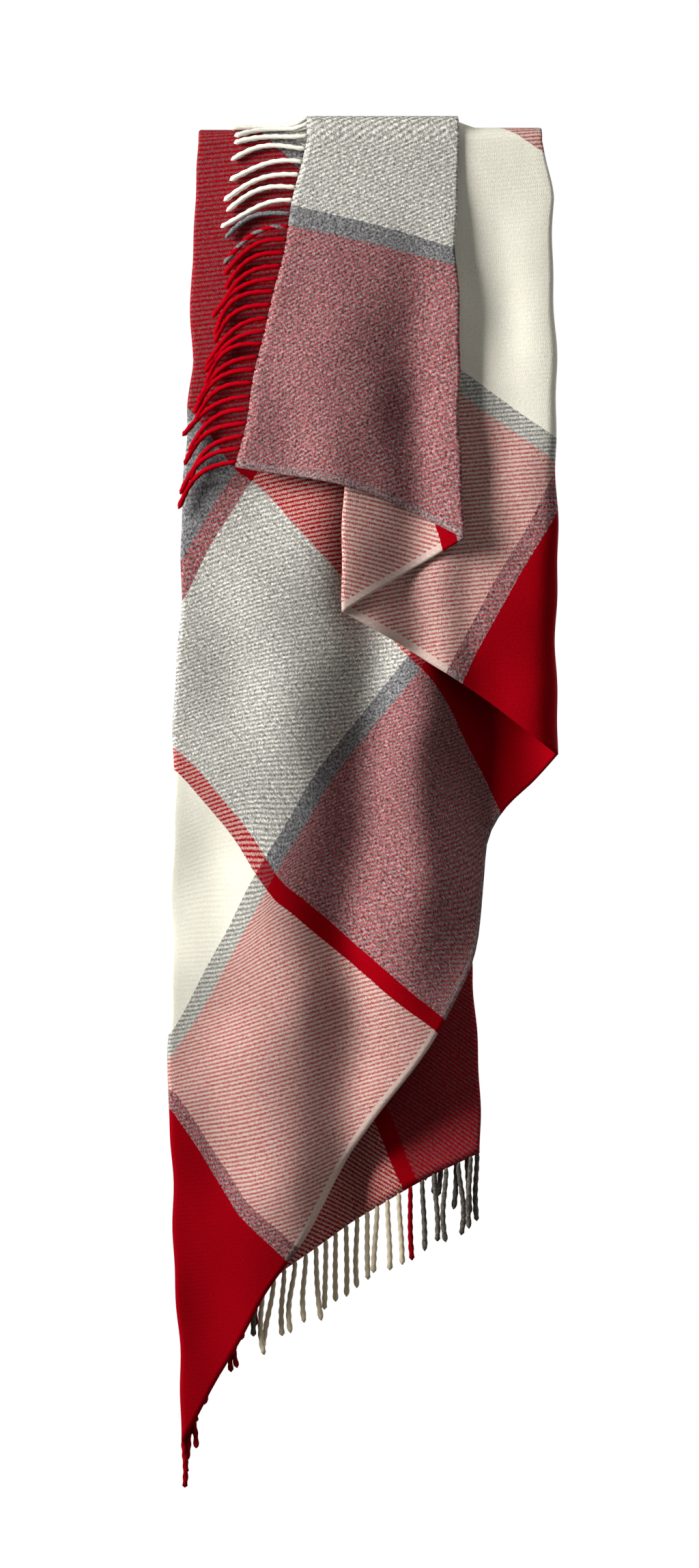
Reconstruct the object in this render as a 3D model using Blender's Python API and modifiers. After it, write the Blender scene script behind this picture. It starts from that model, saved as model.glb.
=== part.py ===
"""A fringed woven throw, pleated and hung over a rail: the stretches of the one cloth between its
folds, and the twisted tassels along its two fringed edges. Metres, +Z up, +X to the right as seen
from the front, -Y towards the viewer. The origin is on the axis of the rail that carries it."""

import math

import bpy
import bmesh
import numpy as np

clearance = 0.0003
clothThickness = 0.0034
layerPitch = clothThickness + clearance
railGapRadius = 0.0125
dropTop = -0.0014
frontRows = 14
rearRows = 10

# How far each layer stands off the rail where it crosses it, counted from the innermost layer.
layerOrder = {"inner": 0, "back": 1, "front": 2, "right": 3, "pleat": 4, "flap": 5}
# How much further each layer stands forward, or back behind the rail, once it hangs freely.
frontFullness = {"inner": 0.004, "back": 0.008, "front": 0.014, "right": 0.038,
                 "pleat": 0.042, "flap": 0.045}
rearFullness = {"back": 0.006, "front": 0.014, "edge": 0.022}
fullnessDrop = 0.50
# A fold pressed flat against the rail still turns over this much of the cloth's width.
leastFoldReach = 0.0024

# Fold and edge lines from the hem up to the rail, as (height, sideways place).
frontLines = {
    "flapFringeEdge": [(-0.409, -0.170), (0, -0.081)],
    "flapFold": [(-0.498, 0.111), (-0.138, 0.104), (0, 0.107)],
    "pleatFold": [(-0.589, -0.035), (0, -0.035)],
    "rightFold": [(-0.765, 0.229), (-0.30, 0.229), (-0.07, 0.224), (0, 0.211)],
    "leftFold": [(-1.621, -0.234), (-1.43, -0.240), (-1.17, -0.253), (-1.05, -0.255),
                 (-0.85, -0.247), (-0.47, -0.238), (-0.20, -0.223), (0, -0.215)],
    "backFold": [(-1.263, 0.135), (-1.035, 0.127), (0, 0.131)],
    "innerFold": [(-1.033, -0.208), (-0.48, -0.206), (0, 0.040)],
    "innerSelvedge": [(-0.876, 0.026), (-0.48, -0.175), (0, 0.020)],
}
rearLines = {
    "flapFringeEdge": [(-0.80, -0.175), (0, -0.077)],
    "rightFold": [(-0.76, -0.097), (0, 0.211)],
    "leftFold": [(-0.61, -0.190), (0, -0.215)],
    "backFold": [(-0.19, 0.030), (0, 0.131)],
}
# Hems that aren't straight, from the first fold to the second, as (sideways place, height).
frontHem = [(0.229, -0.765), (0.170, -0.827), (0.133, -0.876), (0.144, -0.956), (0.127, -1.035),
            (0.095, -1.088), (0.036, -1.179), (-0.032, -1.266), (-0.089, -1.375),
            (-0.146, -1.469), (-0.198, -1.554), (-0.234, -1.621)]
backHem = [(-0.234, -1.621), (-0.20, -1.545), (-0.15, -1.462), (-0.104, -1.405),
           (-0.060, -1.377), (0.017, -1.335), (0.079, -1.305), (0.135, -1.263)]

tasselRadius = 0.0030
tasselLength = 0.093
flapTasselCount = 24
lowerTasselCount = 18
lowerFringeStart = 0.43
tasselSteps = 6


def clear_scene():
    for obj in list(bpy.data.objects):
        bpy.data.objects.remove(obj, do_unlink=True)
    for mesh in list(bpy.data.meshes):
        bpy.data.meshes.remove(mesh)


def make_material(name, colour, roughness=0.92):
    material = bpy.data.materials.new(name)
    material.use_nodes = True
    shader = material.node_tree.nodes["Principled BSDF"]
    shader.inputs["Base Color"].default_value = (*colour, 1)
    shader.inputs["Roughness"].default_value = roughness
    shader.inputs["Metallic"].default_value = 0
    return material


def line_at(points, height):
    heights, places = zip(*points)
    return float(np.interp(height, heights, places))


def along_line(points, part):
    """The (sideways, height) place at this part of the way from the hem to the rail."""
    height = points[0][0] * (1 - part) + dropTop * part
    return np.array([line_at(points, height), height])


def hem_place(hem, part):
    steps = np.linalg.norm(np.diff(np.array(hem), axis=0), axis=1)
    run = np.concatenate([[0], np.cumsum(steps)]) / steps.sum()
    return np.array([np.interp(part, run, [p[0] for p in hem]),
                     np.interp(part, run, [p[1] for p in hem])])


def fullness_share(height):
    return min(1, -min(height, 0) / fullnessDrop)


def front_depth(layer, height):
    if layer == "corner":
        return front_depth("inner", height) + layerPitch
    onRail = railGapRadius + layerPitch * (layerOrder[layer] + 0.5)
    return -onRail - frontFullness[layer] * fullness_share(height)


def rear_depth(layer, height):
    order = 4 if layer == "edge" else layerOrder[layer]
    onRail = railGapRadius + layerPitch * (order + 0.5)
    return onRail + rearFullness[layer] * fullness_share(height)


def panel_places(first, second, hem, depth, beforeDepth, afterDepth, rows, straights):
    """Points of one stretch of cloth between two lines, rounded half way round each fold."""
    arc = [(0, 1), (0, 0), (30, 0), (60, 0)]
    grid = []
    for row in range(rows + 1):
        part = row / rows
        start, end = along_line(first, part), along_line(second, part)
        turn = math.copysign(1, end[0] - start[0])
        width = abs(end[0] - start[0])
        across = []
        startRadius = endRadius = startReach = endReach = 0
        if beforeDepth:
            startRadius = abs(beforeDepth(start[1]) - depth(start[1])) / 2
            startReach = max(startRadius, leastFoldReach)
        if afterDepth:
            endRadius = abs(afterDepth(end[1]) - depth(end[1])) / 2
            endReach = max(endRadius, leastFoldReach)
        straightStart, straightEnd = startReach / width, 1 - endReach / width
        if beforeDepth:
            side = math.copysign(1, beforeDepth(start[1]) - depth(start[1]))
            for angle, last in arc:
                radians = math.radians(angle)
                share = startReach * (1 - math.cos(radians)) / width
                back = (startRadius - 0.0005) * (1 - math.sin(radians)) + 0.00035 * last
                across.append((share, side * back))
        for step in range(straights + 1):
            share = straightStart + (straightEnd - straightStart) * step / straights
            across.append((share, 0))
        if afterDepth:
            side = math.copysign(1, afterDepth(end[1]) - depth(end[1]))
            for angle, last in reversed(arc):
                radians = math.radians(angle)
                share = 1 - endReach * (1 - math.cos(radians)) / width
                back = (endRadius - 0.0005) * (1 - math.sin(radians)) + 0.00035 * last
                across.append((share, side * back))
        line = []
        for share, back in across:
            place = start * (1 - share) + end * share
            if hem:
                low = along_line(first, 0) * (1 - share) + along_line(second, 0) * share
                place = place + (hem_place(hem, share) - low) * (1 - part) ** 1.5
            line.append((place[0], depth(place[1]) + back, place[1]))
        grid.append(line)
    return grid


def sheet_object(name, grid, thickness, material, collection):
    """A grid primitive moved to these places and thickened evenly to both sides."""
    mesh = bpy.data.meshes.new(name)
    shape = bmesh.new()
    columns = len(grid[0])
    bmesh.ops.create_grid(shape, x_segments=columns - 1, y_segments=len(grid) - 1, size=0.5)
    flat = [place for line in grid for place in line]
    shape.verts.ensure_lookup_table()
    order = sorted(shape.verts, key=lambda v: (round(v.co.y, 6), round(v.co.x, 6)))
    for vert, place in zip(order, flat):
        vert.co = place
    shape.to_mesh(mesh)
    shape.free()
    obj = bpy.data.objects.new(name, mesh)
    collection.objects.link(obj)
    mesh.materials.append(material)
    solid = obj.modifiers.new("thickness", "SOLIDIFY")
    solid.thickness = thickness
    solid.offset = 0
    return obj


def top_fold(name, innerLayer, layers, left, right, material, collection):
    """Layers pressed together where they cross the rail: half a ring along the rail."""
    thickness = layers * layerPitch - clearance
    radius = railGapRadius + innerLayer * layerPitch + layers * layerPitch / 2
    grid = []
    for step in range(13):
        angle = math.pi * step / 12
        grid.append([(x, -radius * math.cos(angle), radius * math.sin(angle))
                     for x in np.linspace(left, right, 5)])
    return sheet_object(name, grid, thickness, material, collection)


def tassel(name, places, material, collection, radius=tasselRadius):
    curve = bpy.data.curves.new(name, "CURVE")
    curve.dimensions = "3D"
    curve.bevel_depth = radius
    curve.bevel_resolution = 1
    curve.use_fill_caps = True
    spline = curve.splines.new("POLY")
    spline.points.add(len(places) - 1)
    for point, place in zip(spline.points, places):
        point.co = (*place, 1)
    curve.materials.append(material)
    obj = bpy.data.objects.new(name, curve)
    collection.objects.link(obj)
    return obj


def drooping_places(root, rootAngle, tipAngle, side, length, steps=tasselSteps):
    """A tassel from its root, turning from one angle below the level to another."""
    places = [np.array(root, float)]
    for step in range(steps):
        share = ((step + 0.5) / steps) ** 0.7
        angle = math.radians(rootAngle + (tipAngle - rootAngle) * share)
        move = np.array([side * math.cos(angle), 0, -math.sin(angle)]) * length / steps
        places.append(places[-1] + move)
    return places


def build_cloth(collection, shades):
    """Makes every stretch of the cloth, and returns the edges that carry tassels."""
    lines, rear = frontLines, rearLines
    edges = {}
    front = [
        ("flap_panel", "flapFringeEdge", "flapFold", None, "flap", None, "pleat", 4, "grey"),
        ("flap_pleat", "flapFold", "pleatFold", None, "pleat", "flap", "right", 3, "cream"),
        ("right_panel", "pleatFold", "rightFold", None, "right", "pleat", "front", 4, "red"),
        ("front_panel", "rightFold", "leftFold", frontHem, "front", "right", "back", 10,
         "darkRed"),
        ("back_panel", "leftFold", "backFold", backHem, "back", "front", "inner", 6, "pink"),
        ("inner_panel", "backFold", "innerFold", None, "inner", "back", None, 4, "red"),
    ]
    for name, first, second, hem, layer, before, after, straights, shade in front:
        grid = panel_places(
            lines[first], lines[second], hem, lambda z, n=layer: front_depth(n, z),
            (lambda z, n=before: front_depth(n, z)) if before else None,
            (lambda z, n=after: front_depth(n, z)) if after else None, frontRows, straights)
        sheet_object(name, grid, clothThickness, shades[shade], collection)
        edges[name] = grid[0]
        if name == "flap_panel":
            edges[name] = [line[0] for line in grid]

    # The inner corner is turned back below the height where its fold starts.
    foldTop, foldLow = lines["innerFold"][1], lines["innerFold"][0]
    corner = lines["innerSelvedge"][0]
    grid = []
    for row in range(7):
        part = row / 6
        outer = np.array([foldLow[1], foldLow[0]]) * (1 - part) + (
            np.array([foldTop[1], foldTop[0]]) * part)
        free = np.array([corner[1], corner[0]]) * (1 - part) + (
            np.array([foldTop[1] + 0.02, foldTop[0]]) * part)
        grid.append([(p[0], front_depth("corner", p[1]), p[1])
                     for p in (outer + (free - outer) * share for share in np.linspace(0, 1, 5))])
    sheet_object("inner_corner_panel", grid, clothThickness, shades["red"], collection)
    edges["inner_corner_panel"] = grid[0]

    behind = [
        ("rear_edge_panel", "flapFringeEdge", "rightFold", "edge", None, "front", 4, "cream"),
        ("rear_main_panel", "rightFold", "leftFold", "front", "edge", "back", 5, "darkRed"),
        ("rear_back_panel", "leftFold", "backFold", "back", "front", None, 4, "red"),
    ]
    for name, first, second, layer, before, after, straights, shade in behind:
        grid = panel_places(
            rear[first], rear[second], None, lambda z, n=layer: rear_depth(n, z),
            (lambda z, n=before: rear_depth(n, z)) if before else None,
            (lambda z, n=after: rear_depth(n, z)) if after else None, rearRows, straights)
        sheet_object(name, grid, clothThickness, shades[shade], collection)
        if name == "rear_edge_panel":
            edges[name] = [line[0] for line in grid]

    top_fold("top_fold_inner", 0, 3, line_at(lines["leftFold"], 0), line_at(lines["rightFold"], 0),
             shades["darkRed"], collection)
    top_fold("top_fold_outer", 3, 3, line_at(lines["flapFringeEdge"], 0) + 0.004,
             line_at(lines["rightFold"], 0), shades["grey"], collection)
    return edges


def edge_between(edge, start, end, count):
    """Evenly spaced places, and the edge's direction at each, between two shares of its length."""
    points = np.array(edge)
    steps = np.linalg.norm(np.diff(points, axis=0), axis=1)
    run = np.concatenate([[0], np.cumsum(steps)]) / steps.sum()
    found = []
    for share in np.linspace(start, end, count):
        place = np.array([np.interp(share, run, points[:, axis]) for axis in range(3)])
        step = min(int(np.searchsorted(run, share, side="right")) - 1, len(steps) - 1)
        found.append((place, (points[step + 1] - points[step]) / steps[step]))
    return found


def off_edge(place, direction, along, radius):
    """The root of a tassel whose flat end clears a slanting edge."""
    lean = abs(direction[0] * along[0] + direction[2] * along[2])
    square = abs(direction[0] * along[2] - direction[2] * along[0])
    return place + direction * (radius * lean + 1.4 * clearance) / square


def build_fringes(collection, shades, edges):
    flapRun = edge_between(edges["flap_panel"], 0.014, 0.978, flapTasselCount)
    for number, (place, along) in enumerate(flapRun):
        share = number / (flapTasselCount - 1)
        shade = "red" if share < 0.70 else ("greyYarn" if share < 0.745 else "creamYarn")
        tipAngle = 56 if share < 0.62 else 56 - (share - 0.62) / 0.38 * 48
        rootAngle = 14 * (1 - share)
        firstAngle = math.radians(rootAngle + (tipAngle - rootAngle) * (0.5 / tasselSteps) ** 0.7)
        direction = np.array([-math.cos(firstAngle), 0, -math.sin(firstAngle)])
        root = off_edge(place, direction, along, tasselRadius)
        tassel(f"flap_tassel_{number + 1:02d}",
               drooping_places(root, rootAngle, tipAngle, -1, tasselLength), shades[shade],
               collection)

    lowerRun = edge_between(edges["back_panel"], lowerFringeStart, 0.985, lowerTasselCount)
    down = np.array([0, 0, -1.0])
    for number, (place, along) in enumerate(lowerRun):
        share = number / (lowerTasselCount - 1)
        shade = "greyYarn" if share > 0.70 else ("red" if share > 0.62 else "creamYarn")
        root = off_edge(place, down, along, tasselRadius)
        tassel(f"lower_tassel_{number + 1:02d}", drooping_places(root, 90, 90, -1, tasselLength),
               shades[shade], collection)

    bands = [
        ("tassel_bunch_middle", "back_panel", (0.325, 0.385), (0.008, -0.090), "creamYarn", 1),
        ("tassel_bunch_left", "back_panel", (0.215, 0.255), (0.010, -0.062), "darkRed", 1),
        ("tassel_bunch_tip", "back_panel", (0.030, 0.075), (-0.002, -0.062), "red", 1),
        ("inner_hem_fringe", "inner_panel", (0.03, 0.99), (0, -tasselLength), "greyYarn", 4),
        ("inner_corner_fringe", "inner_corner_panel", (0.05, 1), (0, -tasselLength), "red", 4),
        ("rear_fringe", "rear_edge_panel", (0.01, 0.96), (-0.050, -0.075), "creamYarn", 8),
    ]
    for name, panel, (start, end), move, shade, rows in bands:
        reach = np.array([move[0], 0, move[1]])
        direction = reach / np.linalg.norm(reach)
        grid = []
        for place, along in edge_between(edges[panel], start, end, rows + 1):
            root = off_edge(place, direction, along, 0)
            grid.append([root + reach * far for far in (0, 0.5, 1)])
        sheet_object(name, grid, clothThickness, shades[shade], collection)


def main():
    clear_scene()
    collection = bpy.data.collections.new("hung_throw_blanket")
    bpy.context.scene.collection.children.link(collection)
    shades = {
        "red": make_material("red_wool", (0.48, 0.01, 0.02)),
        "darkRed": make_material("red_and_grey_twill", (0.26, 0.05, 0.06)),
        "grey": make_material("grey_wool", (0.30, 0.30, 0.31)),
        "cream": make_material("cream_wool", (0.78, 0.75, 0.66)),
        "pink": make_material("red_and_cream_twill", (0.55, 0.22, 0.20)),
        "greyYarn": make_material("grey_yarn", (0.20, 0.20, 0.21)),
        "creamYarn": make_material("cream_yarn", (0.76, 0.72, 0.62)),
    }
    edges = build_cloth(collection, shades)
    build_fringes(collection, shades, edges)


main()
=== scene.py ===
import math
import bpy
import mathutils
import numpy as np
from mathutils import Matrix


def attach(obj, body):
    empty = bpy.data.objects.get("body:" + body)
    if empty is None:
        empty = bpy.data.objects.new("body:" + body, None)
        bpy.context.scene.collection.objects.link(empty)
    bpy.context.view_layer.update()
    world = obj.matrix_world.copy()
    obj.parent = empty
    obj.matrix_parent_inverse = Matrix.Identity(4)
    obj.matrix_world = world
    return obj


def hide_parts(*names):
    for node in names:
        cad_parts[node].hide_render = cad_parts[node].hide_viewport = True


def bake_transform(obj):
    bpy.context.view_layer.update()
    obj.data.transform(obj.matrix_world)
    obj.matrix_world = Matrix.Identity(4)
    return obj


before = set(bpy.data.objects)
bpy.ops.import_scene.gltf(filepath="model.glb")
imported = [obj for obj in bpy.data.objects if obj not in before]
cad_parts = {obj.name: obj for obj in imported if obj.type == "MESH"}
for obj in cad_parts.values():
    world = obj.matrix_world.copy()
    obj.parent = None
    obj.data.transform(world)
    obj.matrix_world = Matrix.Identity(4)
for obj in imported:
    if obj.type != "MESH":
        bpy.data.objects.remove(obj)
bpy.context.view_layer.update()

# Every line runs from the hem up to the rail: height, sideways place, and the place in the flat
# cloth across its width and along its length. All in centimetres.
clothLines = {
    "flapEdge": [(-40.9, -17.0, 0, 0), (-11.0, -10.5, 30.6, 0), (-8.5, -9.95, 33.1, 0),
                 (0, -8.1, 41.8, 0)],
    "flapFold": [(-49.8, 11.1, 0, 30.2), (-16.0, 10.5, 30.6, 21.8), (-13.9, 10.4, 33.1, 21.1),
                 (0, 10.7, 46.8, 17.3)],
    "pleatFold": [(-58.9, -3.5, 0, 49.0), (0, -3.5, 48.9, 22.0)],
    "rightFold": [(-76.5, 22.9, 0, 80.8), (-37.6, 22.9, 33.1, 62.5), (-7.0, 22.4, 59.2, 48.1),
                  (0, 21.1, 65.2, 44.8)],
    "leftFold": [(-162.1, -23.5, 0, 193.5), (-120.0, -25.2, 28.0, 162.9),
                 (-115.1, -25.1, 30.6, 157.9), (-112.3, -25.2, 33.1, 156.4),
                 (-76.5, -24.7, 52.0, 128.5), (-58.0, -23.8, 63.7, 113.2),
                 (-33.2, -23.0, 76.2, 96.7), (-28.0, -22.1, 78.9, 93.0),
                 (-17.0, -22.5, 84.6, 85.2), (0, -21.5, 93.5, 73.1)],
    "backGuide": [(-140.5, -10.5, 44.2, 193.5), (0, -5.0, 110.0, 86.0)],
    "backFold": [(-126.3, 13.5, 76.8, 193.5), (-103.5, 12.7, 87.3, 174.1),
                 (-90.0, 11.0, 92.6, 164.2), (-40.0, 10.4, 111.8, 127.6), (0, 13.1, 127.5, 98.0)],
    "innerFold": [(-103.3, -20.8, 108.5, 193.5), (-48.0, -20.6, 129.3, 145.0),
                  (0, 4.0, 129.5, 94.0)],
    "innerEdge": [(-87.6, 2.6, 130.0, 193.5), (-48.0, -17.5, 130.0, 146.0),
                  (0, 2.0, 130.0, 93.0)],
}
# The same lines behind the rail end at the far side edge of the cloth.
rearEnds = {
    "flapEdge": (-80.0, -17.5, 130.0, 0.0), "flapFold": (-79.0, -14.9, 130.0, 3.0),
    "pleatFold": (-77.5, -12.3, 130.0, 6.0), "rightFold": (-76.0, -9.7, 130.0, 8.8),
    "leftFold": (-61.0, -19.0, 130.0, 26.1), "backGuide": (-34.0, -4.0, 130.0, 56.0),
    "backFold": (-19.0, 3.0, 130.0, 74.0), "innerFold": (-7.0, -3.5, 130.0, 88.5),
    "innerEdge": (-5.0, -4.4, 130.0, 90.1),
}
# Places on the wide front panel where it doesn't hang straight between its two folds.
frontAnchors = [
    (0, 90.0, 20.6, -80.1), (0, 96.7, 17.0, -82.7), (0, 101.5, 13.3, -87.6),
    (0, 109.0, 14.2, -95.6), (0, 117.0, 12.7, -103.5), (0, 127.3, 9.5, -108.8),
    (0, 129.8, 8.3, -110.7), (0, 138.1, 3.6, -118.1), (0, 143.0, 0.3, -121.8),
    (0, 148.6, -3.2, -126.7), (0, 153.3, -5.3, -131.2), (0, 160.4, -8.9, -137.5),
    (0, 162.9, -9.9, -139.5), (0, 169.2, -13.3, -144.0), (0, 176.5, -16.4, -149.5),
    (0, 184.3, -19.8, -155.4), (0, 191.8, -22.3, -161.3),
    (33.1, 96.7, 4.7, -64.6), (30.6, 96.7, 6.6, -65.8), (11.1, 96.7, 12.8, -76.8),
    (63.7, 96.7, -14.9, -42.2), (66.1, 96.7, -17.2, -41.9), (31.9, 128.5, -12.1, -92.2),
    (12.5, 127.3, -0.3, -101.1), (19.4, 127.3, -5.5, -96.6), (27.6, 127.3, -11.3, -91.7),
    (36.8, 127.3, -16.2, -84.7), (45.1, 127.3, -20.7, -79.2), (33.1, 108.7, -3.1, -74.0),
    (33.1, 119.6, -9.0, -83.0), (30.6, 109.4, -1.5, -75.6), (33.1, 136.8, -17.1, -98.1),
    (33.1, 144.9, -20.7, -103.8), (30.6, 151.0, -21.9, -109.9), (10.6, 160.4, -16.7, -131.8),
    (16.6, 160.4, -19.8, -127.3), (12.1, 162.9, -18.1, -132.2), (21.0, 162.9, -22.3, -125.2),
    (84.7, 66.1, -10.6, -0.9),
]
# How far the back hem is drawn up behind the front panel: sideways place, height.
hemPleats = [(-23.5, 0), (-22.4, 5.5), (-20.5, 9.0), (-18.1, 9.0), (-17.2, 4.6), (-16.6, 4.6),
             (-15.8, 9.0), (-14.6, 8.2), (-13.6, 2.2), (-12.0, 0.8), (-10.5, 0)]
# Each stretch of cloth, in order along the length: its layer, where it starts and ends, and how
# many steps across it takes.
clothStretches = [
    ("flap", "flapEdge", "flapFold", 26), ("pleat", "flapFold", "pleatFold", 12),
    ("right", "pleatFold", "rightFold", 24), ("front", "rightFold", "leftFold", 54),
    ("back", "leftFold", "backGuide", 14), ("back", "backGuide", "backFold", 20),
    ("inner", "backFold", "innerFold", 16), ("corner", "innerFold", "innerEdge", 10),
]
cloth = {
    "width": 1.30, "length": 1.935, "thickness": 0.0032,
    "railGap": 0.0125, "layerPitch": 0.0037,
    "layers": ["corner", "inner", "back", "front", "right", "pleat", "flap"],
    "frontFullness": {"corner": 0.004, "inner": 0.004, "back": 0.008, "front": 0.014,
                      "right": 0.038, "pleat": 0.042, "flap": 0.045},
    "rearFullness": {"corner": 0.004, "inner": 0.004, "back": 0.006, "front": 0.014,
                     "right": 0.0255, "pleat": 0.0218, "flap": 0.0181},
    "frontRows": 136, "railRows": 14, "rearRows": 50, "foldSteps": 5, "settle": 0.30,
    "unevenness": 0.0016,
}


def thinPlate(anchors, stiffness=0.002):
    # a smooth map from the flat cloth to where it hangs, through every anchor
    anchors = np.array(anchors, float)
    flat, hung = anchors[:, :2], anchors[:, 2:]
    span = flat.max(0)

    def bend(places):
        gap = np.linalg.norm(places[:, None] / span - flat[None] / span, axis=2)
        return np.where(gap > 0, gap ** 2 * np.log(gap + 1e-12), 0)

    count = len(flat)
    system = np.zeros((count + 3, count + 3))
    system[:count, :count] = bend(flat) + stiffness * np.eye(count)
    system[:count, count], system[:count, count + 1:] = 1, flat / span
    system[count:, :count] = system[:count, count:].T
    weights = np.linalg.solve(system, np.vstack([hung, np.zeros((3, 2))]))

    def mapped(places):
        rows = np.hstack([bend(places), np.ones((len(places), 1)), places / span])
        return rows @ weights

    return mapped


def lineAt(name, parts):
    # height, sideways place and cloth place of a line, at shares of the way up from its hem
    stations = np.array(clothLines[name], float)
    heights = stations[0, 0] * (1 - parts)
    return np.stack([heights] + [np.interp(heights, stations[:, 0], stations[:, k])
                                 for k in (1, 2, 3)], axis=1)


def freeShare(height):
    return np.clip(-height / 50, 0, 1)


def eased(value, start, end):
    share = np.clip((value - start) / (end - start), 0, 1)
    return share * share * (3 - 2 * share)


def swell(value, middle, reach):
    return np.exp(-((value - middle) / reach) ** 2)


def flapWave(x, z):
    # the ridge and valley that run down the flap and press into the layers under it
    hanging = eased(z, -4, -34)
    return (-1.1 * swell(x, -5.0, 4.4) + 2.2 * swell(x, 5.4, 3.5)) * hanging


def pocket(x, z):
    # the upper right panel lies back from the flap's folded edge
    return 1.7 * eased(x, 7.5, 13.0) * (1 - 0.45 * eased(x, 15, 21)) * eased(z, -1, -20)


def innerRelief(layer, x, z):
    # the long front panel and what lies behind it: a broad ridge with a valley beside it, and
    # the open loop at the lower right, where the cloth turns back
    hanging = eased(z, -26, -66)
    valley = -0.8 - 3.2 * eased(z, -60, -105)
    depth = -1.4 * swell(x, valley - 9.5, 5.6) + 2.7 * swell(x, valley + 0.8, 4.0)
    depth = (depth - 0.9 * swell(x, 6.0, 4.0) * eased(z, -112, -94)) * hanging
    depth += flapWave(x, z) * (1 - eased(z, -40, -64))
    depth += pocket(x, z) * eased(z, -108, -84)
    depth += 4.4 * eased(z, -34, -70) * eased(z, -114, -98) * (
        eased(x, 4.5, 15.5) - 0.3 * eased(x, 18.5, 23.0))
    # low down, the front panel swings clear of the layers behind it
    if layer == "front":
        depth -= 2.6 * eased(x, -21, -7) * eased(z, -84, -106) * (1 - 0.6 * eased(z, -128, -150))
    else:
        depth += 2.2 * eased(x, -16, 0) * eased(z, -84, -104) * eased(z, -131, -114)
    small = 0.17 * np.sin(x * 0.55 + z * 0.21) + 0.13 * np.sin(z * 0.33 - x * 0.3)
    return (depth + small * hanging) / 100


def outerRelief(layer, x, z):
    # the flap, its pleat and the upper right panel
    depth = flapWave(x, z) + (pocket(x, z) if layer == "right" else 0)
    small = 0.10 * np.sin(x * 0.8 + z * 0.24) + 0.09 * np.sin(z * 0.42 - x * 0.5)
    return (depth + small * eased(z, -5, -38)) / 100


def frontDepth(layer, x, z):
    order = cloth["layers"].index(layer)
    onRail = cloth["railGap"] + cloth["layerPitch"] * (order - 0.5)
    if layer in ("flap", "pleat", "right"):
        relief = outerRelief(layer, x, z)
    else:
        relief = innerRelief(layer, x, z)
    return -onRail - cloth["frontFullness"][layer] * freeShare(z) + relief


def rearDepth(layer, x, z):
    order = cloth["layers"].index(layer)
    onRail = cloth["railGap"] + cloth["layerPitch"] * (order - 0.5)
    wave = 0.35 * np.sin(x * 0.36 + z * 0.05) + 0.2 * np.sin(x * 0.7 - z * 0.13)
    return onRail + cloth["rearFullness"][layer] * freeShare(z) + wave * freeShare(z) / 100


def acrossSteps(steps, foldedStart, foldedEnd):
    # where each step lies: round the first fold, straight across, then round the second
    turns = cloth["foldSteps"]
    found = []
    if foldedStart:
        found += [("start", math.pi / 2 * k / turns) for k in range(turns)]
    found += [("straight", k / steps) for k in range(steps + 1)]
    if foldedEnd:
        found += [("end", math.pi / 2 * k / turns) for k in range(turns - 1, -1, -1)]
    return found


def stretchPlaces(index, depthOf, firstLine, secondLine):
    # one stretch of cloth as rows by steps: sideways, depth, height, and the place in the cloth
    layer = clothStretches[index][0]
    before = clothStretches[index - 1][0] if index else layer
    after = clothStretches[index + 1][0] if index + 1 < len(clothStretches) else layer
    width = np.abs(secondLine[:, 1] - firstLine[:, 1]) + 1e-6

    def halfGap(other, line):
        across, height = line[:, 1], line[:, 0]
        return (depthOf(other, across, height) - depthOf(layer, across, height)) / 2

    startGap, endGap = halfGap(before, firstLine), halfGap(after, secondLine)
    startReach = np.minimum(np.abs(startGap) * 100, 0.4 * width) / width
    endReach = np.minimum(np.abs(endGap) * 100, 0.4 * width) / width
    shares, backs = [], []
    for kind, amount in acrossSteps(clothStretches[index][3], before != layer, after != layer):
        if kind == "start":
            shares.append(startReach * (1 - math.cos(amount)))
            backs.append(startGap * (1 - math.sin(amount)))
        elif kind == "end":
            shares.append(1 - endReach * (1 - math.cos(amount)))
            backs.append(endGap * (1 - math.sin(amount)))
        else:
            shares.append(startReach + (1 - startReach - endReach) * amount)
            backs.append(startGap * 0)
    shares, backs = np.array(shares).T, np.array(backs).T
    places = firstLine[:, None] * (1 - shares[..., None]) + secondLine[:, None] * shares[..., None]
    return shares, backs, places


def hangFront(index):
    layer, first, second = clothStretches[index][:3]
    parts = np.linspace(0, 1, cloth["frontRows"] + 1)
    firstLine, secondLine = lineAt(first, parts), lineAt(second, parts)
    shares, backs, places = stretchPlaces(index, frontDepth, firstLine, secondLine)
    height, sideways = places[..., 0].copy(), places[..., 1].copy()
    low = ((1 - parts) ** 1.5)[:, None]
    if layer == "flap":      # the flap's lower edge sags less than a straight line
        height += 1.9 * np.sin(math.pi * shares ** 1.2) * low
    if layer == "right":
        height += 0.9 * np.sin(math.pi * shares) * low
    if layer == "back":
        height += 1.0 * np.sin(math.pi * shares) * low
    if second == "backGuide":      # the hem is drawn up in soft pleats behind the front panel
        raised = np.interp(sideways, *zip(*hemPleats))
        height += raised * ((1 - parts) ** 7)[:, None]
    if layer == "front":
        edges = [(u, v, x, z) for name in (first, second) for z, x, u, v in clothLines[name]]
        mapped = thinPlate(edges + frontAnchors)
        hung = mapped(places[..., 2:].reshape(-1, 2)).reshape(*sideways.shape, 2)
        # held exactly on both folds, and level where it reaches the rail
        for column, line in ((0, firstLine), (-1, secondLine)):
            share = (1 - shares if column == 0 else shares) ** 3
            hung += share[..., None] * (line[:, [1, 0]] - hung[:, column])[:, None]
        sideways = hung[..., 0]
        height = hung[..., 1] - hung[-1:, :, 1] * (parts ** 6)[:, None]
    height = np.minimum(height, 0)
    depth = frontDepth(layer, sideways, height) + backs
    return np.stack([sideways / 100, depth, height / 100, places[..., 2] / 100,
                     places[..., 3] / 100], axis=2)


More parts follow.
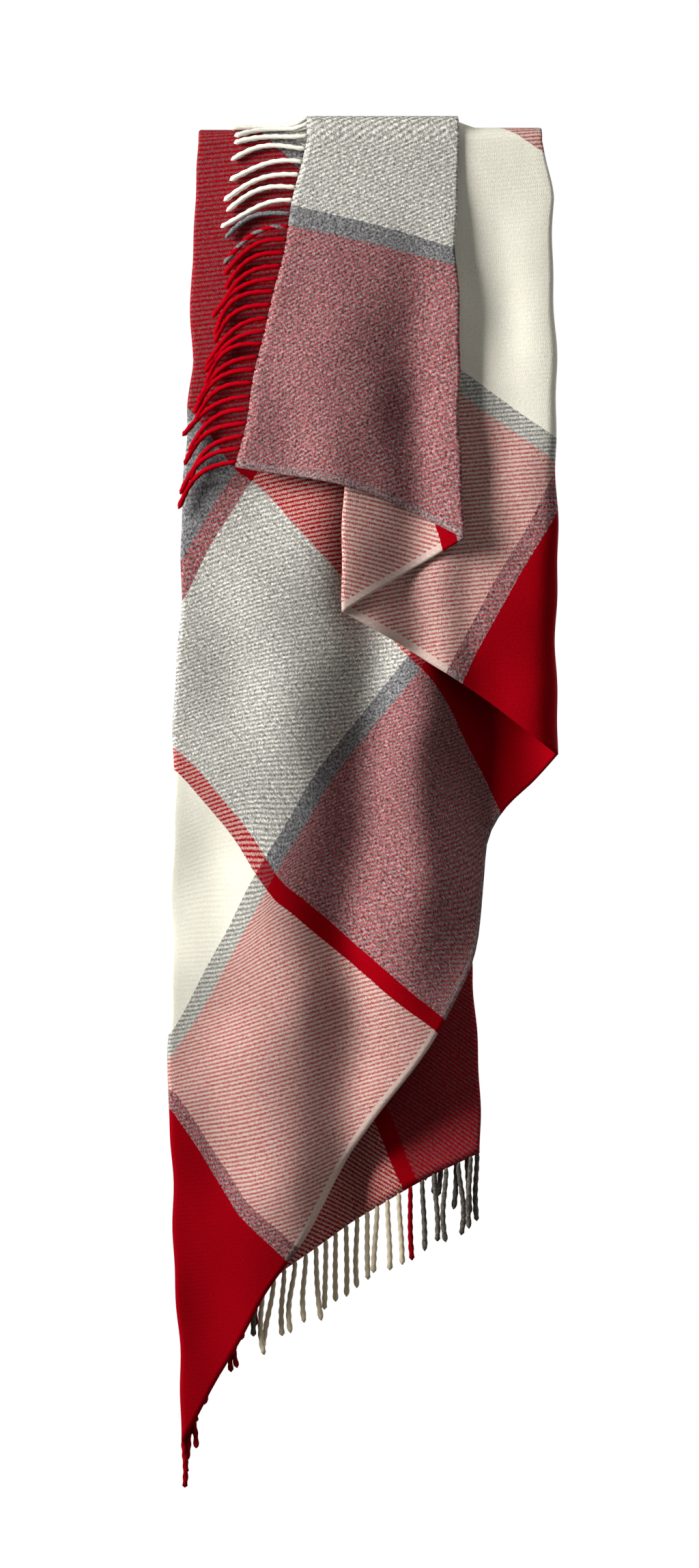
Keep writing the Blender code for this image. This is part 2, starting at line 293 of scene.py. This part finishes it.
def hangRear(index, fromFront):
    layer, first, second = clothStretches[index][:3]
    parts = np.linspace(0, 1, cloth["rearRows"] + 1)

    def rearLine(name, arc):
        top, end = np.array(clothLines[name][-1], float), np.array(rearEnds[name], float)
        run = (arc - end[0] * parts) / (arc - end[0])
        line = top[None] * (1 - run[:, None]) + end[None] * run[:, None]
        line[:, 0] = end[0] * parts
        line[:, 1] = top[1] * (1 - parts) + end[1] * parts
        return line

    arc = 7.0
    firstLine, secondLine = rearLine(first, arc), rearLine(second, arc)
    shares, backs, places = stretchPlaces(index, rearDepth, firstLine, secondLine)
    depth = rearDepth(layer, places[..., 1], places[..., 0]) + backs
    rear = np.stack([places[..., 1] / 100, depth, places[..., 0] / 100, places[..., 2] / 100,
                     places[..., 3] / 100], axis=2)
    # over the rail: half a turn on each layer's own radius
    top = fromFront[-1]
    over = []
    for turn in range(1, cloth["railRows"]):
        angle = math.pi * turn / cloth["railRows"]
        share = turn / cloth["railRows"]
        radius = -top[:, 1] * (1 - share) + rear[0, :, 1] * share
        line = top * (1 - share) + rear[0] * share
        line[:, 1], line[:, 2] = -radius * math.cos(angle), radius * math.sin(angle)
        over.append(line)
    return np.concatenate([np.array(over), rear])


def clothGrid():
    stretches = []
    for index in range(len(clothStretches)):
        front = hangFront(index)
        whole = np.concatenate([front, hangRear(index, front)])
        stretches.append(whole if index == 0 else whole[:, 1:])
    grid = np.concatenate(stretches, axis=1)
    # beside the flap the cloth settles lower on the rail
    x, z = grid[..., 0], grid[..., 2]
    settled = 1 - cloth["settle"] * (1 - eased(x, -0.100, -0.078) * eased(x, 0.128, 0.108))
    grid[..., 2] = np.where(z > 0, z * settled, z)
    # the folds and edges hang a little unevenly
    uneven = np.sin(z * 27 + x * 9 + 0.6) + 0.6 * np.sin(z * 61 - x * 14 + 2.0)
    grid[..., 0] += cloth["unevenness"] * uneven * eased(z, 0, -0.06)
    return grid


def gridObject(name, grid, thickness):
    rows, columns = grid.shape[:2]
    mesh = bpy.data.meshes.new(name)
    corner = np.arange(rows * columns).reshape(rows, columns)
    faces = np.stack([corner[:-1, :-1], corner[:-1, 1:], corner[1:, 1:], corner[1:, :-1]], axis=-1)
    mesh.from_pydata(grid[..., :3].reshape(-1, 3).tolist(), [], faces.reshape(-1, 4).tolist())
    layer = mesh.uv_layers.new(name="cloth")
    flat = grid[..., 3:5].reshape(-1, 2)
    layer.uv.foreach_set("vector", flat[faces.reshape(-1)].astype(np.float32).ravel())
    mesh.polygons.foreach_set("use_smooth", [True] * len(mesh.polygons))
    obj = bpy.data.objects.new(name, mesh)
    bpy.context.collection.objects.link(obj)
    solid = obj.modifiers.new("thickness", "SOLIDIFY")
    solid.thickness, solid.offset = thickness, 0
    return obj



class Wiring:
    # short names for the nodes that a material is wired from
    def __init__(self, name):
        self.material = bpy.data.materials.new(name)
        self.material.use_nodes = True
        self.tree = self.material.node_tree
        self.shader = self.tree.nodes["Principled BSDF"]

    def link(self, value, socket):
        if isinstance(value, (int, float)):
            socket.default_value = value
        elif isinstance(value, tuple):
            socket.default_value = (*value, 1) if len(socket.default_value) == 4 else value
        else:
            self.tree.links.new(value, socket)

    def math(self, operation, a, b=0.0):
        node = self.tree.nodes.new("ShaderNodeMath")
        node.operation = operation
        self.link(a, node.inputs[0])
        self.link(b, node.inputs[1])
        return node.outputs[0]

    def mix(self, share, a, b, blend="MIX"):
        node = self.tree.nodes.new("ShaderNodeMix")
        node.data_type, node.blend_type = "RGBA", blend
        self.link(share, node.inputs[0])
        self.link(a, node.inputs[6])
        self.link(b, node.inputs[7])
        return node.outputs[2]

    def blendValue(self, share, a, b):
        node = self.tree.nodes.new("ShaderNodeMix")
        self.link(share, node.inputs[0])
        self.link(a, node.inputs[2])
        self.link(b, node.inputs[3])
        return node.outputs[0]

    def bands(self, place, stops):
        # a colour for each band, with a hard edge between bands
        node = self.tree.nodes.new("ShaderNodeValToRGB")
        ramp = node.color_ramp
        ramp.interpolation = "CONSTANT"
        while len(ramp.elements) > 1:
            ramp.elements.remove(ramp.elements[-1])
        for number, (start, colour) in enumerate(stops):
            element = ramp.elements[0] if number == 0 else ramp.elements.new(start)
            element.position = start
            element.color = (*colour, 1)
        self.link(place, node.inputs[0])
        return node.outputs[0]

    def combine(self, x, y, z=0.0):
        node = self.tree.nodes.new("ShaderNodeCombineXYZ")
        for value, socket in zip((x, y, z), node.inputs):
            self.link(value, socket)
        return node.outputs[0]

    def noise(self, vector, scale, detail=2.0, roughness=0.5):
        node = self.tree.nodes.new("ShaderNodeTexNoise")
        self.link(vector, node.inputs["Vector"])
        self.link(scale, node.inputs["Scale"])
        self.link(detail, node.inputs["Detail"])
        self.link(roughness, node.inputs["Roughness"])
        return node.outputs["Fac"]

    def spread(self, value, low, high, newLow, newHigh):
        node = self.tree.nodes.new("ShaderNodeMapRange")
        self.link(value, node.inputs[0])
        for number, amount in enumerate((low, high, newLow, newHigh)):
            self.link(amount, node.inputs[number + 1])
        return node.outputs[0]


yarn = {
    "red": (0.35, 0.0004, 0.006), "cream": (0.86, 0.83, 0.72), "grey": (0.235, 0.228, 0.226),
    "warpGrey": (0.13, 0.13, 0.135),
    "endPitch": 0.001665, "pickPitch": 0.00198, "blend": 0.24, "nap": (0.2, 1.0), "patches": 0.8,
    "greyCover": 0.09, "redCover": 0.25, "creamCover": -0.05,
    "selvedge": 0.010, "weftBeside": 0.05, "roughness": 0.95,
}
# Bands of the check in centimetres: across the width for the warp, along the length for the weft.
warpBands = [(0, "red"), (30.6, "warpGrey"), (33.1, "cream"), (63.7, "red"),
             (66.1, "warpGrey"), (96.7, "red")]
weftBands = [(0, "grey"), (30.6, "red"), (33.1, "cream"), (63.7, "grey"), (66.1, "red"),
             (96.7, "grey"), (127.3, "red"), (129.8, "cream"), (160.4, "grey"), (162.9, "red")]


def bandStops(bands, size):
    return [(start / 100 / size, yarn[shade]) for start, shade in bands]


def greyStops(bands, size):
    return [(start / 100 / size, (1, 1, 1) if "rey" in shade else (0, 0, 0))
            for start, shade in bands]


def heathered(wiring, colour, greyness, place, scale):
    # grey wool is blended from light and dark fibres, and the plain dyes vary only a little
    fibres = wiring.noise(place, scale, 3.0, 0.65)
    grey = wiring.spread(fibres, 0.34, 0.66, 0.2, 2.15)
    plain = wiring.spread(fibres, 0.3, 0.7, 0.92, 1.06)
    strength = wiring.blendValue(greyness, plain, grey)
    return wiring.mix(1.0, colour, wiring.combine(strength, strength, strength), "MULTIPLY")


def clothMaterial():
    w = Wiring("twill_wool_check")
    uvMap = w.tree.nodes.new("ShaderNodeUVMap")
    uvMap.uv_map = "cloth"
    apart = w.tree.nodes.new("ShaderNodeSeparateXYZ")
    w.link(uvMap.outputs[0], apart.inputs[0])
    flat = uvMap.outputs[0]
    # the yarns wander a little, so that the twill lines are ragged
    shift = w.math("MULTIPLY", w.math("SUBTRACT", w.noise(flat, 380.0, 2.0), 0.5), 0.0034)
    slip = w.math("MULTIPLY", w.math("SUBTRACT", w.noise(flat, 470.0, 2.0), 0.5), 0.0034)
    across = w.math("ADD", apart.outputs[0], shift)
    along = w.math("ADD", apart.outputs[1], slip)
    ends = w.math("DIVIDE", across, yarn["endPitch"])
    picks = w.math("DIVIDE", along, yarn["pickPitch"])
    turn = w.math("FLOORED_MODULO", w.math("SUBTRACT", w.math("FLOOR", ends),
                                           w.math("FLOOR", picks)), 4.0)
    # the weft is plumper than the warp, so it also shows along both sides of each warp yarn
    warpRound = w.math("PINGPONG", ends, 0.5)
    weftRound = w.math("PINGPONG", picks, 0.5)
    weftUp = w.math("MAXIMUM", w.math("LESS_THAN", turn, 1.5),
                    w.math("LESS_THAN", warpRound, yarn["weftBeside"]))
    warpColour = w.bands(w.math("DIVIDE", across, cloth["width"]),
                         bandStops(warpBands, cloth["width"]))
    weftColour = w.bands(w.math("DIVIDE", along, cloth["length"]),
                         bandStops(weftBands, cloth["length"]))
    warpGrey = w.bands(w.math("DIVIDE", across, cloth["width"]),
                       greyStops(warpBands, cloth["width"]))
    weftGrey = w.bands(w.math("DIVIDE", along, cloth["length"]),
                       greyStops(weftBands, cloth["length"]))
    # the brushed nap carries fibres of each yarn over the other, more in some places
    nap = w.spread(w.noise(flat, 900.0, 2.0, 0.6), 0.35, 0.65, *yarn["nap"])
    raised = w.math("ADD", w.math("MULTIPLY", w.math("SUBTRACT", weftUp, 0.5), nap), 0.5)
    patches = w.math("SUBTRACT", w.noise(flat, 260.0, 3.0, 0.7), 0.5)
    raised = w.math("ADD", raised, w.math("MULTIPLY", patches, yarn["patches"]))
    # grey and red weft cover more of the warp than cream weft does
    parts = w.tree.nodes.new("ShaderNodeSeparateColor")
    w.link(weftColour, parts.inputs[0])
    weftRed = w.math("LESS_THAN", parts.outputs[1], 0.05)
    cover = w.blendValue(weftGrey, w.blendValue(weftRed, yarn["creamCover"], yarn["redCover"]),
                         yarn["greyCover"])
    raised = w.math("ADD", raised, cover)
    raised = w.math("MINIMUM", w.math("MAXIMUM", raised, 0.0), 1.0)
    # in the selvedge the weft covers the warp
    selvedge = w.math("MULTIPLY", w.math("LESS_THAN", across, yarn["selvedge"]), 0.66)
    weftShare = w.math("MAXIMUM", raised, selvedge)
    colour = w.mix(weftShare, warpColour, weftColour)
    # light that passes through fibres of both colours comes out darker than either
    colour = w.mix(yarn["blend"], colour, w.mix(1.0, warpColour, weftColour, "MULTIPLY"))
    # over a red warp the grey fibres stand out most
    warpParts = w.tree.nodes.new("ShaderNodeSeparateColor")
    w.link(warpColour, warpParts.inputs[0])
    warpRed = w.math("LESS_THAN", warpParts.outputs[1], 0.05)
    greyness = w.math("ADD", w.math("MULTIPLY", weftGrey, w.blendValue(warpRed, 0.62, 0.98)),
                      w.math("MULTIPLY", warpGrey, 0.32))
    greyness = w.math("MINIMUM", greyness, 1.0)
    # each yarn is round, and painted shade darkens it where it dips under the next one
    profile = w.math("SQRT", w.math("MULTIPLY", w.blendValue(weftUp, warpRound, weftRound), 2.0))
    colour = heathered(w, colour, greyness, flat, 330.0)
    # painted shade of the yarn dips, multiplied into the base colour below
    shade = w.spread(profile, 0.0, 1.0, 0.82, 1.05)
    slow = w.spread(w.noise(flat, 9.0, 3.0), 0.3, 0.7, 0.93, 1.06)
    flecks = w.spread(w.noise(flat, 150.0, 3.0, 0.7), 0.32, 0.68, 0.62, 1.42)
    # solid red shows its loose fibres more than cream does
    loose = w.spread(w.noise(flat, 620.0, 4.0, 0.75), 0.33, 0.67, 0.60, 1.36)
    loose = w.blendValue(w.math("MULTIPLY", warpRed, weftRed), 1.0, loose)
    slow = w.math("MULTIPLY", slow, w.math("MULTIPLY", loose,
                                           w.blendValue(greyness, 1.0, flecks)))
    strength = w.math("MULTIPLY", shade, slow)
    colour = w.mix(1.0, colour, w.combine(strength, strength, strength), "MULTIPLY")
    w.link(colour, w.shader.inputs["Base Color"])
    fuzz = w.noise(flat, 1500.0, 4.0, 0.7)
    height = w.math("ADD", profile, w.math("MULTIPLY", fuzz, 0.8))
    bump = w.tree.nodes.new("ShaderNodeBump")
    bump.inputs["Strength"].default_value = 0.4
    bump.inputs["Distance"].default_value = 0.0007
    w.link(height, bump.inputs["Height"])
    w.link(bump.outputs[0], w.shader.inputs["Normal"])
    w.shader.inputs["Roughness"].default_value = yarn["roughness"]
    w.shader.inputs["Specular IOR Level"].default_value = 0.015
    return w.material


def tasselMaterial(name, paintedShade):
    w = Wiring(name)
    warp = w.tree.nodes.new("ShaderNodeUVMap")
    warp.uv_map = "cloth"
    apart = w.tree.nodes.new("ShaderNodeSeparateXYZ")
    w.link(warp.outputs[0], apart.inputs[0])
    around = w.tree.nodes.new("ShaderNodeUVMap")
    around.uv_map = "strand"
    split = w.tree.nodes.new("ShaderNodeSeparateXYZ")
    w.link(around.outputs[0], split.inputs[0])
    share = w.math("DIVIDE", apart.outputs[0], cloth["width"])
    colour = w.bands(share, bandStops(warpBands, cloth["width"]))
    greyness = w.bands(share, greyStops(warpBands, cloth["width"]))
    spun = w.combine(w.math("MULTIPLY", split.outputs[0], 5.0),
                     w.math("MULTIPLY", split.outputs[1], 120.0), apart.outputs[0])
    colour = heathered(w, colour, greyness, spun, 3.0)
    fibre = w.noise(spun, 6.0, 4.0, 0.7)
    strength = w.spread(fibre, 0.3, 0.7, 0.84, 1.1)
    # painted shade: paintedShade darkens and warms the yarn colour; (1, 1, 1) leaves it as it is
    shades = [w.math("MULTIPLY", strength, share) for share in paintedShade]
    colour = w.mix(1.0, colour, w.combine(*shades), "MULTIPLY")
    w.link(colour, w.shader.inputs["Base Color"])
    bump = w.tree.nodes.new("ShaderNodeBump")
    bump.inputs["Strength"].default_value = 0.5
    bump.inputs["Distance"].default_value = 0.0006
    w.link(fibre, bump.inputs["Height"])
    w.link(bump.outputs[0], w.shader.inputs["Normal"])
    w.shader.inputs["Roughness"].default_value = yarn["roughness"]
    w.shader.inputs["Specular IOR Level"].default_value = 0.015
    return w.material


tassel = {
    "pitch": 0.0168, "radius": 0.0037, "flapLength": 0.098, "hemLength": 0.088, "around": 10,
    "steps": 26, "twistLength": 0.026, "lobe": 0.12, "sink": 0.75,
    "railStandoff": 0.033, "tipShortening": 0.72,
    "bendStart": (0.0145, -0.0279, -1.3328), "bendEnd": (0.0278, -0.0279, -1.3551),
}


def overRail(x, height, standoff):
    # a place at this height measured along the cloth: up the front, over the rail, down behind
    top = math.pi * standoff
    if height < 0:
        return np.array([x, -standoff, height])
    if height > top:
        return np.array([x, standoff, top - height])
    angle = height / standoff
    place = np.array([x, -standoff * math.cos(angle), standoff * math.sin(angle)])
    place[2] *= 1 - cloth["settle"] * (1 - float(eased(x, -0.100, -0.078)))
    return place


def lyingTassel(x, height, startAngle, tipAngle, length, wobble):
    # out to the left from the flap's edge, then down and in until it rests on the layer behind
    count = tassel["steps"]
    top = math.pi * tassel["railStandoff"]
    side = -1 if height < top / 2 else 1
    if 0 < height < top:
        tipAngle = tipAngle * abs(math.cos(math.pi * height / top))
    path = []
    for step in range(count + 1):
        share = step / count
        if side < 0:
            outer = -frontDepth("flap", x * 100, min(height, 0) * 100)
            under = -frontDepth("front", x * 100, min(height, 0) * 100)
        else:
            outer = rearDepth("flap", x * 100, min(top - height, 0) * 100)
            under = rearDepth("front", x * 100, min(top - height, 0) * 100)
        rest = under + cloth["thickness"] / 2 + tassel["radius"] * 1.05
        standoff = outer + (min(rest, outer) - outer) * tassel["sink"] * float(eased(share, 0, 0.7))
        path.append(overRail(x, height, float(standoff)))
        bend = float(eased(share, 0.0, 0.85))
        angle = startAngle * (1 - bend) + tipAngle * bend + wobble * math.sin(share * 5.0)
        x -= math.cos(angle) * length / count
        height += side * math.sin(angle) * length / count
    return np.array(path)


def hangingTassel(root, lean, length, wobble):
    # straight down from a hem, with a little lean
    count = tassel["steps"]
    path = [np.array(root, float)]
    for step in range(count):
        share = (step + 0.5) / count
        move = np.array([lean * share + wobble[0] * math.sin(share * 4.5),
                         wobble[1] * math.sin(share * 3.5 + 1), -1.0])
        path.append(path[-1] + move / np.linalg.norm(move) * length / count)
    return np.array(path)


def twistedSurface(path, warpPlace, phase):
    around = tassel["around"]
    tangent = np.gradient(path, axis=0)
    tangent /= np.linalg.norm(tangent, axis=1)[:, None]
    side = np.cross(tangent, (0.0, 1.0, 0.15))
    side /= np.linalg.norm(side, axis=1)[:, None]
    other = np.cross(tangent, side)
    run = np.concatenate([[0], np.cumsum(np.linalg.norm(np.diff(path, axis=0), axis=1))])
    share = run / run[-1]
    # a little slimmer at the root, a soft blunt end at the tip
    girth = tassel["radius"] * (0.84 + 0.18 * share ** 0.7)
    girth = girth * np.sqrt(np.clip((1.0 - share) / 0.04, 0.03, 1)) * np.clip(
        0.7 + share / 0.06, 0, 1)
    turn = 2 * math.pi * run / tassel["twistLength"] + phase
    angle = np.linspace(0, 2 * math.pi, around, endpoint=False)
    lobes = 1 - tassel["lobe"] + tassel["lobe"] * np.cos(2 * (angle[None] - turn[:, None]))
    radius = girth[:, None] * lobes
    places = path[:, None] + radius[..., None] * (
        np.cos(angle)[None, :, None] * side[:, None]
        + np.sin(angle)[None, :, None] * other[:, None])
    ply = np.cos(angle[None] - turn[:, None]) > 0
    warp = np.clip(warpPlace + np.where(ply, 0.004, -0.004), 0, cloth["width"] - 0.001)
    strand = np.stack(np.broadcast_arrays((angle[None] - turn[:, None]) / (2 * math.pi),
                                          run[:, None]), axis=-1)
    return places, warp, strand


def fringeObject(name, tassels):
    # all the tassels of one fringe as one piece
    verts, faces, warps, strands = [], [], [], []
    base = 0
    around = tassel["around"]
    for path, warpPlace, phase in tassels:
        places, warp, strand = twistedSurface(path, warpPlace, phase)
        rings = len(places)
        verts.append(places.reshape(-1, 3))
        warps.append(warp.ravel())
        strands.append(strand.reshape(-1, 2))
        number = np.arange(rings * around).reshape(rings, around) + base
        nextOne = np.roll(number, -1, axis=1)
        quads = np.stack([number[:-1], nextOne[:-1], nextOne[1:], number[1:]], axis=-1)
        faces += quads.reshape(-1, 4).tolist()
        faces.append(number[0, ::-1].tolist())
        faces.append(number[-1].tolist())
        base += rings * around
    mesh = bpy.data.meshes.new(name)
    mesh.from_pydata(np.concatenate(verts).tolist(), [], faces)
    warps, strands = np.concatenate(warps), np.concatenate(strands)
    corners = np.array([v for face in faces for v in face])
    flat = mesh.uv_layers.new(name="cloth")
    flat.uv.foreach_set("vector", np.stack([warps[corners], corners * 0.0], axis=1)
                        .astype(np.float32).ravel())
    strand = mesh.uv_layers.new(name="strand")
    strand.uv.foreach_set("vector", strands[corners].astype(np.float32).ravel())
    mesh.polygons.foreach_set("use_smooth", [True] * len(mesh.polygons))
    obj = bpy.data.objects.new(name, mesh)
    bpy.context.collection.objects.link(obj)
    return obj


def alongEdge(edge, pitch):
    # evenly spaced places along an edge of the cloth, from its first point
    steps = np.linalg.norm(np.diff(edge[:, :3], axis=0), axis=1)
    run = np.concatenate([[0], np.cumsum(steps)])
    places = np.arange(pitch * 0.4, run[-1], pitch)
    return [np.array([np.interp(place, run, edge[:, k]) for k in range(5)]) for place in places]


def makeFringes(grid):
    random = np.random.default_rng(7)
    flapEdge, hemEdge = grid[:, 0], grid[0]
    flapTassels, lowerTassels, railTassels, restTassels = [], [], [], []
    frontRows, railRows = cloth["frontRows"], cloth["railRows"]
    top = math.pi * tassel["railStandoff"]

    for number, root in enumerate(alongEdge(flapEdge, tassel["pitch"])):
        edgeShare = np.interp(root[3], flapEdge[:, 3], np.arange(len(flapEdge)))
        if edgeShare <= frontRows:
            height = root[2]
        elif edgeShare <= frontRows + railRows:
            height = top * (edgeShare - frontRows) / railRows
        else:
            height = top - root[2]
        share = np.clip((height + 0.409) / 0.409, 0, 1)
        tip = 62 if share < 0.62 else 62 - (share - 0.62) / 0.38 * 40
        start = 8 - 14 * share if height < 0 else 0
        if height > top:      # behind the rail the fringe hangs straight down
            start, tip = 55, 86
        path = lyingTassel(root[0] + 0.001, height, math.radians(start + random.normal(0, 3)),
                           math.radians(tip + random.normal(0, 5)),
                           tassel["flapLength"] * random.uniform(0.93, 1.06),
                           random.normal(0, 0.07))
        group = flapTassels if height < 0 else railTassels
        group.append((path, root[3], random.uniform(0, 6.28)))
    for root in alongEdge(hemEdge[hemStart(grid):], tassel["pitch"]):
        path = hangingTassel(root[:3] + np.array([0, 0, 0.001]), random.normal(0.02, 0.10),
                             tassel["hemLength"] * random.uniform(0.95, 1.06)
                             * (tassel["tipShortening"] if root[2] < -1.5 else 1),
                             random.normal(0, 0.10, 2))
        onBack = root[3] < 0.768
        group = lowerTassels if onBack and root[0] > -0.106 else restTassels
        group.append((path, root[3], random.uniform(0, 6.28)))
    return flapTassels, lowerTassels, railTassels, restTassels


def hemStart(grid):
    # the first step of the hem that lies on the second fringed end
    return int(np.argmax(grid[0, :, 4] > 1.934))


print("cloth: hanging the layers")
grid = clothGrid()
throw = gridObject("woven_throw", grid, cloth["thickness"])
throw.data.materials.append(clothMaterial())
print("fringes: twisting the tassels")
flapTassels, lowerTassels, railTassels, restTassels = makeFringes(grid)
brightFringe = tasselMaterial("twisted_wool_fringe", (1, 1, 1))
# a copy with painted shade, darker and warmer, for the lower and hidden fringes
shadedFringe = tasselMaterial("twisted_wool_fringe_painted_shade", (0.76, 0.67, 0.54))
flapFringe = fringeObject("flap_fringe_tassels", flapTassels)
lowerFringe = fringeObject("lower_fringe_tassels", lowerTassels)
railFringe = fringeObject("rear_fringe_tassels", railTassels)
restFringe = fringeObject("hidden_fringe_tassels", restTassels)
flapFringe.data.materials.append(brightFringe)
railFringe.data.materials.append(brightFringe)
lowerFringe.data.materials.append(shadedFringe)
restFringe.data.materials.append(shadedFringe)

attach(throw, "cloth")
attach(railFringe, "cloth")
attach(restFringe, "cloth")
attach(flapFringe, "flap_fringe")
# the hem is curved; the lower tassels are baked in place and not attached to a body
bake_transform(lowerFringe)
names = list(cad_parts)
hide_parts(*[n for n in names if n.startswith("flap_tassel_")])
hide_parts(*[n for n in names if n.startswith("lower_tassel_")])
bands = [n for n in names if n.startswith("tassel_bunch_") or n.endswith("_fringe")]
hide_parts("rear_fringe")
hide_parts(*[n for n in bands if n != "rear_fringe"])
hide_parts(*[n for n in names if n not in bands and "_tassel_" not in n])

print("studio: floor, lights and camera")
studio = {
    "floorHeight": -1.95, "floorReach": 1.1, "floor": (0.34, 0.34, 0.34),
    "floorGlow": 0.62,
    "cameraAway": 7.0, "viewHeight": 1.952, "viewMiddle": (-0.028, -0.802),
    "surround": 1.0, "surroundLight": 0.13,
}


def plainMaterial(name, colour, roughness):
    w = Wiring(name)
    w.shader.inputs["Base Color"].default_value = (*colour, 1)
    w.shader.inputs["Roughness"].default_value = roughness
    return w.material


def studioFloor():
    reach, height = studio["floorReach"], studio["floorHeight"]
    grid = np.array([[(x, y, height, x, y) for x in (-reach, reach)] for y in (-reach, reach)])
    floor = gridObject("studio_floor", grid, 0.004)
    paint = plainMaterial("pale_floor", studio["floor"], 0.9)
    shader = paint.node_tree.nodes["Principled BSDF"]
    shader.inputs["Emission Color"].default_value = (1, 1, 1, 1)
    shader.inputs["Emission Strength"].default_value = studio["floorGlow"]
    floor.data.materials.append(paint)
    floor.visible_diffuse = False
    return floor


def softLight(name, place, target, size, power, colour=(1, 1, 1)):
    data = bpy.data.lights.new(name, "AREA")
    data.shape, data.size, data.size_y = "RECTANGLE", size[0], size[1]
    data.energy, data.color = power, colour
    light = bpy.data.objects.new(name, data)
    bpy.context.collection.objects.link(light)
    light.location = place
    light.visible_camera = False
    aim = np.array(target) - np.array(place)
    light.rotation_euler = mathutils.Vector(aim).to_track_quat("-Z", "Y").to_euler()
    return light


studioFloor()
softLight("key", (-3.0, -1.55, 0.75), (0, 0, -0.6), (1.5, 1.6), 255)
softLight("fill", (2.4, -3.6, -0.6), (0, 0, -0.8), (2.4, 2.8), 8)
softLight("top", (0, -0.8, 2.6), (0, 0, -0.6), (2.6, 1.8), 12)
softLight("rear", (2.6, 4.4, 0.9), (0, 0, -0.8), (2.6, 2.6), 260)
softLight("right", (4.6, -0.2, 0.4), (0, 0, -0.8), (2.0, 2.4), 26)

# a plain white surround that lights the throw only a little
world = bpy.data.worlds.new("studio")
world.use_nodes = True
background = world.node_tree.nodes["Background"]
seen = world.node_tree.nodes.new("ShaderNodeLightPath")
strength = world.node_tree.nodes.new("ShaderNodeMapRange")
strength.inputs[3].default_value = studio["surroundLight"]
strength.inputs[4].default_value = studio["surround"]
world.node_tree.links.new(seen.outputs["Is Camera Ray"], strength.inputs[0])
world.node_tree.links.new(strength.outputs[0], background.inputs[1])
background.inputs[0].default_value = (1, 1, 1, 1)
bpy.context.scene.world = world

cameraData = bpy.data.cameras.new("camera")
cameraData.sensor_fit = "VERTICAL"
cameraData.sensor_height = 24
cameraData.lens = 24 * studio["cameraAway"] / studio["viewHeight"]
camera = bpy.data.objects.new("camera", cameraData)
bpy.context.collection.objects.link(camera)
camera.location = (studio["viewMiddle"][0], -studio["cameraAway"] - 0.04, studio["viewMiddle"][1])
camera.rotation_euler = (math.pi / 2, 0, 0)
bpy.context.scene.camera = camera
bpy.context.scene.view_settings.view_transform = "Standard"
